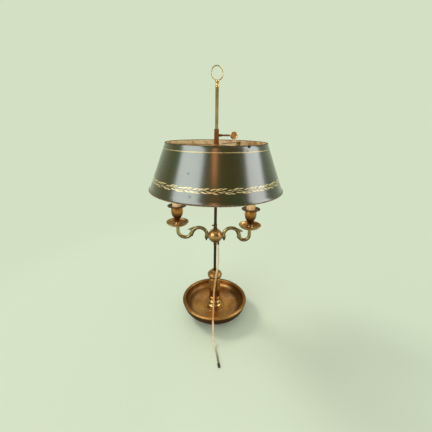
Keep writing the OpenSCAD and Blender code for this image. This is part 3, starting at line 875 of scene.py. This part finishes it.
def arc(centre: Pair, radius: float, start: float, end: float, steps: int) -> list[Pair]:
    """Lists the points of an arc between two angles in degrees."""
    angles = [math.radians(start + (end - start) * i / steps) for i in range(steps + 1)]
    return [(centre[0] + radius * math.cos(a), centre[1] + radius * math.sin(a)) for a in angles]


# --- cord


@dataclass
class Cord:
    """Flat twin cord that hangs from the ball, crosses the dish's rim and lies on the table.

    Attributes:
        route: Points of its centre line in millimetres.
        lobe_r: Radius of each of its two cores.
        lobe_x: Distance of a core's axis from the middle.
        waist: Half thickness between the cores.
        fine: Steps between two points of the route.
    """

    route: tuple = (
        (9, -4, 234), (9, -4, 229), (9, -4, 224), (9.5, -5.7, 215), (10.1, -8.4, 206), (10.4, -11.4, 196),
        (10.2, -14.2, 186), (9.4, -16.5, 176), (8, -18.5, 166), (6.5, -20.5, 156),
        (5, -22.5, 147), (4, -23.8, 138), (3, -24, 130), (2, -24.3, 121), (1, -25.2, 112),
        (0, -27.3, 103), (-1, -31, 94), (-1.5, -36, 85.5), (-2, -42.5, 77.5), (-2, -50, 70.5),
        (-2.5, -58.5, 64.5), (-2.5, -67.5, 59.2), (-2.5, -77, 55), (-3, -86.5, 52.4),
        (-3, -95, 51.5), (-3, -102, 50.1), (-3, -109, 47), (-2.5, -115.5, 42), (-2.5, -121, 35.5),
        (-2, -126, 28), (-1.5, -131, 20.5), (-0.5, -136.5, 13.5), (0.5, -143, 7.5),
        (2.5, -150.5, 3.5), (5, -159, 1.7), (7.5, -168, 1.4), (9.5, -178, 1.4), (11, -188, 1.4),
        (12.5, -198, 1.4))
    lobe_r: float = 0.00128
    lobe_x: float = 0.00122
    waist: float = 0.00075
    fine: int = 5

    def path(self) -> list[Vector]:
        """Smooths the route.

        Returns:
            The centre line in metres.
        """
        points = [Vector(p) * MM for p in self.route]
        ends = [points[0] * 2 - points[1], *points, points[-1] * 2 - points[-2]]
        line = []
        for a, b, c, d in zip(ends, ends[1:], ends[2:], ends[3:]):
            for i in range(self.fine):
                t = i / self.fine
                line.append(0.5 * (2 * b + (c - a) * t + (2 * a - 5 * b + 4 * c - d) * t * t
                                   + (3 * b - a - 3 * c + d) * t ** 3))
        return [*line, points[-1]]

    def section(self) -> list[Pair]:
        """Draws the flat section: two round cores joined by a web.

        Returns:
            Its outline.
        """
        right = [(self.lobe_x + self.lobe_r * math.cos(a), self.lobe_r * math.sin(a))
                 for a in (math.radians(d) for d in range(-120, 121, 30))]
        left = [(-x, -y) for x, y in right]
        return [*right, (0.0, self.waist), *left, (0.0, -self.waist)]

    def build(self, paints: dict[str, Material]) -> None:
        """Makes the cord and dresses its end.

        Args:
            paints: The lamp's materials by key. The cord takes "cord" and its end "tip".
        """
        line = self.path()
        outline = self.section()
        work = bmesh.new()
        rings = []
        for i, point in enumerate(line):
            along = (line[min(i + 1, len(line) - 1)] - line[max(i - 1, 0)]).normalized()
            thin = along.cross(Vector((1, 0, 0))).normalized()
            wide = thin.cross(along)
            rings.append([work.verts.new(point + wide * x + thin * y) for x, y in outline])
        for near, far in zip(rings, rings[1:]):
            for k, vertex in enumerate(near):
                after = (k + 1) % len(near)
                work.faces.new((vertex, near[after], far[after], far[k]))
        work.faces.new(rings[0])
        work.faces.new(rings[-1])
        bmesh.ops.recalc_face_normals(work, faces=work.faces)
        flex = settle("cord_flex", work)
        bpy.ops.object.shade_smooth_by_angle(angle=math.radians(50))
        dress(flex, [paints["cord"]])
        dress(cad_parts["cord_tip"], [paints["tip"]])
        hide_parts("cord")
        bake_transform(flex)


# --- shade


class Coat(IntEnum):
    """Paints of the shade's skin, in the order of its material slots."""

    ENAMEL = 0
    INSIDE = 1
    EDGE = 2
    BRIM = 3


def fill_ribbon(work: bmesh.types.BMesh, rows: Sequence[Sequence[bmesh.types.BMVert]]) -> None:
    """Fills a ribbon between rows of three points, where a row of one point is a tip.

    Args:
        work: Its mesh.
        rows: The rows in order.
    """
    full = [row * 3 if len(row) == 1 else row for row in rows]
    for near, far in zip(full, full[1:]):
        for k in (0, 1):
            work.faces.new(tuple(dict.fromkeys((near[k], near[k + 1], far[k + 1], far[k]))))


@dataclass
class Shade:
    """Enamelled sheet-metal shade with rolled edges, a gilt line and a painted laurel garland.

    Attributes:
        top_r: Outer radius at the top edge.
        knee_r: Outer radius where the lip begins to flare.
        top_z: Height of the top edge.
        bottom_z: Height of the bottom edge.
        sheet: Thickness of the metal.
        bead_r: Radius of the rolled edges.
        flare_r: Radius of the lip's flare.
        flare: First and last angle of the flare in degrees.
        line_z: Height of the gilt line.
        line_w: Width of the gilt line.
        garland_z: Middle height of the garland.
        periods: Number of the stem's waves in the group that is repeated.
        groups: Number of groups round the shade.
        wave: Height of the stem's waves in millimetres.
        leaf: Length and width of a leaf in millimetres, and its lean in degrees.
        play: How far each of these three varies either way.
    """

    top_r: float = 0.128
    knee_r: float = 0.170
    top_z: float = 0.520
    bottom_z: float = 0.403
    sheet: float = 0.001
    bead_r: float = 0.00105
    flare_r: float = 0.026
    flare: Pair = (21.0, 40.0)
    line_z: float = 0.5065
    line_w: float = 0.0016
    garland_z: float = 0.4325
    periods: int = 4
    groups: int = 7
    wave: float = 2.2
    leaf: tuple[float, ...] = (13.5, 2.5, 10)
    play: tuple[float, ...] = (1.5, 0.3, 5)

    def knee_z(self) -> float:
        """Returns the height where the lip begins to flare."""
        first, last = (math.sin(math.radians(a)) for a in self.flare)
        return self.bottom_z + self.bead_r + self.flare_r * (last - first)

    def slope(self) -> float:
        """Returns how much the radius grows for each metre down the cone."""
        return (self.knee_r - self.top_r) / (self.top_z - self.bead_r - self.knee_z())

    def radius(self, z: float) -> float:
        """Returns the cone's outer radius at a height."""
        return self.top_r + (self.top_z - self.bead_r - z) * self.slope()

    def period(self) -> float:
        """Returns the length of one wave of the stem in millimetres."""
        return 2 * math.pi * self.radius(self.garland_z) / MM / (self.periods * self.groups)

    def outline(self) -> list[Pair]:
        """Draws the wall with its two rolled edges.

        Returns:
            The closed outline, as radius and height.
        """
        first, last = self.flare
        knee = self.knee_z()
        centre = (self.knee_r + self.flare_r * math.cos(math.radians(first)),
                  knee + self.flare_r * math.sin(math.radians(first)))
        cone = [(self.radius(z), z) for z in
                (knee + (self.top_z - self.bead_r - knee) * i / 24 for i in range(24, 0, -1))]
        outer = [*cone, *arc(centre, self.flare_r, 180 + first, 180 + last, 7)]
        inner = [(r - self.sheet, z) for r, z in cone]
        inner += arc(centre, self.flare_r + self.sheet, 180 + first, 180 + last, 7)
        top = arc((self.top_r - self.sheet / 2, self.top_z - self.bead_r), self.bead_r, 200, -20, 8)
        foot = (centre[0] - (self.flare_r + self.sheet / 2) * math.cos(math.radians(last)),
                self.bottom_z + self.bead_r)
        bottom = arc(foot, self.bead_r, 30, -220, 10)
        return [*top, *outer[1:-1], *bottom, *reversed(inner[1:-1])]

    def on_cone(self, along: float, up: float, lift: float) -> Point:
        """Lays a point of the flat painting on the cone, with the front at the start.

        Args:
            along: Millimetres round the shade towards +X.
            up: Millimetres up the slope from the garland's middle line.
            lift: Millimetres off the enamel.

        Returns:
            The point in metres.
        """
        tilt = math.atan(self.slope())
        turn = along * MM / self.radius(self.garland_z)
        z = self.garland_z + up * MM * math.cos(tilt) + lift * MM * math.sin(tilt)
        radius = self.radius(self.garland_z) - up * MM * math.sin(tilt) + lift * MM * math.cos(tilt)
        return (radius * math.sin(turn), -radius * math.cos(turn), z)

    def stem(self, along: float) -> float:
        """Returns the stem's height over the garland's middle line."""
        return self.wave * math.sin(2 * math.pi * along / self.period())

    def paint_leaf(self, work: bmesh.types.BMesh, along: float, side: int, uneven: float) -> None:
        """Adds a leaf: a pointed lens with a raised midrib, its edge just under the enamel.

        Args:
            work: The garland's mesh.
            along: Millimetres from the start of the group to where it leaves the stem.
            side: 1 over the stem and -1 under it.
            uneven: How far its form departs from the mean one, -1 to 1.
        """
        length, width, lean = (mean + play * uneven for mean, play in zip(self.leaf, self.play))
        lean = math.radians(lean) * side
        up = 0.6 * self.stem(along) + 2.5 * side
        rows = []
        for t in (0.0, 0.16, 0.36, 0.6, 0.82, 1.0):
            half = width / 2 * math.sin(math.pi * t ** 0.8) ** 0.8 if 0 < t < 1 else 0.0
            reach, bow = length * t, 0.45 * side * math.sin(math.pi * t)
            rows.append([work.verts.new(self.on_cone(
                along + reach * math.cos(lean) - (w + bow) * math.sin(lean),
                up + reach * math.sin(lean) + (w + bow) * math.cos(lean), lift))
                for w, lift in (((half, -0.06), (0.0, 0.24), (-half, -0.06)) if half else ((0.0, 0.04),))])
        fill_ribbon(work, rows)

    def paint_stem(self, work: bmesh.types.BMesh, steps: int = 14) -> None:
        """Adds the stem of one group.

        Args:
            work: The garland's mesh.
            steps: Steps in one wave.
        """
        rows = []
        for i in range(self.periods * steps + 1):
            along = i * self.period() / steps
            rows.append([work.verts.new(self.on_cone(along, self.stem(along) + up, lift))
                         for up, lift in ((0.45, -0.04), (0.0, 0.12), (-0.45, -0.04))])
        fill_ribbon(work, rows)

    def garland(self) -> Piece:
        """Paints one group, with the unevenness of a hand at work, and repeats it round the shade.

        Returns:
            The garland.
        """
        work = bmesh.new()
        self.paint_stem(work)
        for i, k, side in product(range(self.periods), range(3), (1, -1)):
            along = (i + (k + (0.0 if side > 0 else 0.45)) / 3) * self.period()
            self.paint_leaf(work, along, side, math.sin(7.1 * i + 2.3 * k + side))
        garland = settle("garland", work)
        bpy.ops.object.mode_set(mode="EDIT")
        bpy.ops.mesh.select_all(action="SELECT")
        copies = self.groups - 1
        bpy.ops.mesh.spin(steps=copies, dupli=True, angle=2 * math.pi * copies / self.groups,
                          center=(0, 0, 0), axis=(0, 0, 1))
        bpy.ops.mesh.select_all(action="SELECT")
        bpy.ops.mesh.remove_doubles(threshold=2e-5)
        bpy.ops.object.mode_set(mode="OBJECT")
        bpy.ops.object.shade_smooth_by_angle(angle=math.radians(60))
        return garland

    def line(self) -> Piece:
        """Lays the gilt line under the top edge, half sunk in the enamel.

        Returns:
            The line.
        """
        low, high = self.line_z - self.line_w / 2, self.line_z + self.line_w / 2
        sunk, lift = -0.0003, 0.00012
        upper = [(self.radius(high) + off, high) for off in (sunk, 0, lift)]
        lower = [(self.radius(low) + off, low) for off in (lift, 0, sunk)]
        return lathe("gilt_line", [*upper, *lower])

    def build(self, paints: dict[str, Material]) -> None:
        """Makes the shade's skin and its painting.

        Args:
            paints: The lamp's materials by key. The skin takes one for each Coat, the line and
                the garland take "line" and "gilt".
        """
        skin = lathe("shade_skin", self.outline())
        dress(skin, [paints[coat.name.lower()] for coat in Coat])
        brim_z, edge_z = self.top_z - 1.4 * self.bead_r, self.bottom_z + 2.1 * self.bead_r
        for face in skin.data.polygons:
            x, y, z = face.center
            if z > brim_z:
                face.material_index = Coat.BRIM
            elif z < edge_z:
                face.material_index = Coat.EDGE
            else:
                inward = face.normal.dot(Vector((x, y, 0))) < 0
                face.material_index = Coat.INSIDE if inward else Coat.ENAMEL
        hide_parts("shade_shell")
        line, garland = self.line(), self.garland()
        dress(line, [paints["line"]])
        dress(garland, [paints["gilt"]])
        for piece in (skin, line, garland):
            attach(piece, "shade")
            log.info("%s: %d faces", piece.name, len(piece.data.polygons))


# --- finishes of the carried-over pieces


class Finishes:
    """All materials of the lamp, each made once.

    Attributes:
        of: The materials by key.
    """

    def __init__(self) -> None:
        """Builds the materials."""
        self.of: dict[str, Material] = {}
        # The dish gets painted shade on its outside where it looks down.
        self.brass("dish", (212, 156, 82), (136, 88, 38), (188, 120, 58), 0.4, (0.4, 0.5), DishBrass,
                   cloud=16, hollow=0.026, under=1.0, lacquer=0.4)
        self.brass("column", (240, 200, 120), (132, 90, 38), (218, 168, 94), 0.35, (0.3, 0.42), lacquer=0.4)
        self.brass("shaft", (192, 134, 58), (102, 56, 16), (170, 106, 42), 0.4, (0.34, 0.46),
                   hollow=0.0022, lacquer=0.25)
        self.brass("cap", (188, 142, 84), (108, 74, 38), (172, 116, 64), 0.45, (0.44, 0.54), lacquer=0.15)
        # The rod gets painted shade below the shade's top, where the shade keeps the light off it.
        self.brass("rod", (236, 216, 152), (136, 114, 68), (196, 166, 100), 0.4, (0.3, 0.42),
                   grain=Grain.DRAWN, darkens=(0.527, 0.503))
        self.brass("ring", (222, 190, 120), (140, 106, 54), (200, 154, 90), 0.3, (0.24, 0.36),
                   grain=Grain.CAST, under=0.2)
        self.brass("spider", (214, 166, 100), (114, 74, 36), (196, 126, 70), 0.4, (0.26, 0.44),
                   grain=Grain.CAST)
        self.brass("collar", (176, 114, 58), (116, 64, 30), (180, 104, 56), 0.4, (0.3, 0.42),
                   grain=Grain.DRAWN)
        low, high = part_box("shade_key")
        key_shaft = (low.x + 0.3 * (high.x - low.x), (low.y + high.y) / 2, (low.z + high.z) / 2)
        self.brass("key", (244, 192, 130), (136, 96, 56), (212, 142, 84), 0.35, (0.28, 0.4),
                   grain=Grain.CAST, stains=(key_shaft,))
        self.brass("hub", (216, 164, 94), (134, 96, 48), (190, 130, 70), 0.35, (0.34, 0.42), lacquer=0.9)
        self.brass("neck", (96, 58, 26), (44, 24, 12), (86, 44, 22), 0.6, (0.34, 0.46), grain=Grain.DRAWN)
        # The arms get painted shade on their undersides.
        self.brass("arm", (194, 170, 112), (72, 60, 36), (138, 108, 66), 0.45, (0.28, 0.42),
                   grain=Grain.CAST, under=0.85)
        self.brass("screw", (140, 96, 60), (70, 40, 26), (130, 76, 50), 0.5, (0.3, 0.46), grain=Grain.CAST)
        for side in ("left", "right"):
            self.stack(side)
        self.plain("steel", "plated_steel", (190, 190, 186), (130, 130, 128), 0.32, 600, metallic=True)
        self.plain("iron", "cast_iron", (58, 56, 54), (34, 33, 32), 0.7, 500, depth=0.0003, metallic=True)
        self.plain("felt", "green_felt", (52, 66, 46), (34, 44, 30), 0.95, 1500, depth=0.0004, sheen=0.6)
        self.plain("ivory", "ivory_plastic", (226, 216, 190), (204, 192, 160), 0.42, 300)
        self.plain("card", "candle_card", (255, 226, 176), (244, 200, 142), 0.5, 90, depth=0.0002, glow=0.1)
        self.plain("bulb_cap", "bulb_cap", (200, 200, 198), (150, 150, 148), 0.28, 500, metallic=True)
        self.plain("opal", "opal_glass", (240, 238, 230), (228, 224, 212), 0.16, 40, depth=0.00002, glow=0.2)
        self.plain("lead", "lead_vinyl", (214, 204, 176), (190, 178, 146), 0.4, 300)
        self.plain("tip", "cord_end", (62, 56, 46), (34, 31, 27), 0.6, 500, depth=0.0002)
        self.plain("inside", "inner_paint", (246, 214, 168), (170, 122, 72), 0.45, 60, depth=0.0003)
        self.gilding("gilt", (240, 218, 160), (150, 122, 72), 0.25)
        self.gilding("line", (200, 178, 126), (130, 108, 66), 0.4)
        self.gilding("edge", (160, 128, 84), (82, 58, 30), 0.7, rough=0.45)
        self.gilding("brim", (124, 92, 54), (52, 34, 16), 0.8, rough=0.5, nick=NICK)
        self.of["enamel"] = Enamel().build()
        self.of["cord"] = CordVinyl().build()

    def brass(self, key: str, bright: Steps, dull: Steps, warm: Steps, tarnish: float, rough: Pair,
              kind: type[Brass] = Brass, **more: object) -> None:
        """Adds a brass whose key also names it, from colours in steps and its other fields."""
        colours = (srgb(*colour) for colour in (bright, dull, warm))
        self.of[key] = kind(f"{key}_brass", *colours, tarnish, rough, **more).build()

    def plain(self, key: str, name: str, colour: Steps, shade: Steps, rough: float, grain: float,
              **more: object) -> None:
        """Adds a plain material, from colours in steps and its other fields."""
        self.of[key] = Plain(name, srgb(*colour), srgb(*shade), rough, grain, **more).build()

    def gilding(self, key: str, gold: Steps, worn: Steps, wear: float, **more: object) -> None:
        """Adds a gold paint whose key also names it, from colours in steps and its other fields."""
        self.of[key] = Gilding(f"{key}_paint", srgb(*gold), srgb(*worn), wear, **more).build()

    def stack(self, side: str) -> None:
        """Adds the brass of one arm's cup, with painted shade on its lip, and that of its pan.

        Args:
            side: Which arm.
        """
        low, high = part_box(f"{side}_drip_pan")
        axis = ((low.x + high.x) / 2, 0.0)
        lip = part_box(f"{side}_candle_cup")[1].z
        # Painted shade on the cup's lip, standing in for the dark underside of the shade that it reflects.
        shaded_lip = (lip - 0.0055, lip - 0.003)
        self.brass(f"{side}_cup", (212, 146, 72), (92, 52, 22), (176, 102, 46), 0.5, (0.28, 0.4),
                   axis=axis, darkens=shaded_lip, darkest=0.85, lacquer=0.3)
        self.brass(f"{side}_pan", (218, 176, 110), (104, 70, 34), (176, 122, 68), 0.5, (0.38, 0.5),
                   axis=axis, under=0.0, lacquer=0.3)


def dress_nodes(finishes: Finishes) -> None:
    """Gives every CAD node its finish.

    Args:
        finishes: The lamp's materials.
    """
    worn_by = {
        "dish": "base_bowl", "iron": "base_weight", "felt": "base_felt",
        "steel": "base_washer base_nut left_cup_nut right_cup_nut", "column": "column_foot",
        "shaft": "column_shaft", "cap": "column_cap", "rod": "center_rod",
        "ring": "finial_ferrule finial_ring", "spider": "shade_spider", "line": "shade_rivets",
        "collar": "shade_collar", "key": "shade_key", "hub": "hub_ball hub_cover",
        "neck": "hub_collar cord_gland", "screw": "hub_set_screw", "arm": "left_arm right_arm",
        "ivory": "wire_junction left_lampholder right_lampholder",
        "left_cup": "left_candle_cup", "right_cup": "right_candle_cup",
        "left_pan": "left_drip_pan", "right_pan": "right_drip_pan",
        "card": "left_candle_sleeve right_candle_sleeve", "bulb_cap": "left_bulb_cap right_bulb_cap",
        "opal": "left_bulb right_bulb", "lead": "left_lead right_lead",
    }
    for finish, nodes in worn_by.items():
        for node in nodes.split():
            dress(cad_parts[node], [finishes.of[finish]])


def main() -> None:
    """Builds the studio and the lamp's pieces in order."""
    logging.basicConfig(level=logging.INFO, format="%(message)s")
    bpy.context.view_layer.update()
    Studio().build()
    finishes = Finishes()
    Cord().build(finishes.of)
    Shade().build(finishes.of)
    dress_nodes(finishes)


if __name__ == "__main__":
    main()
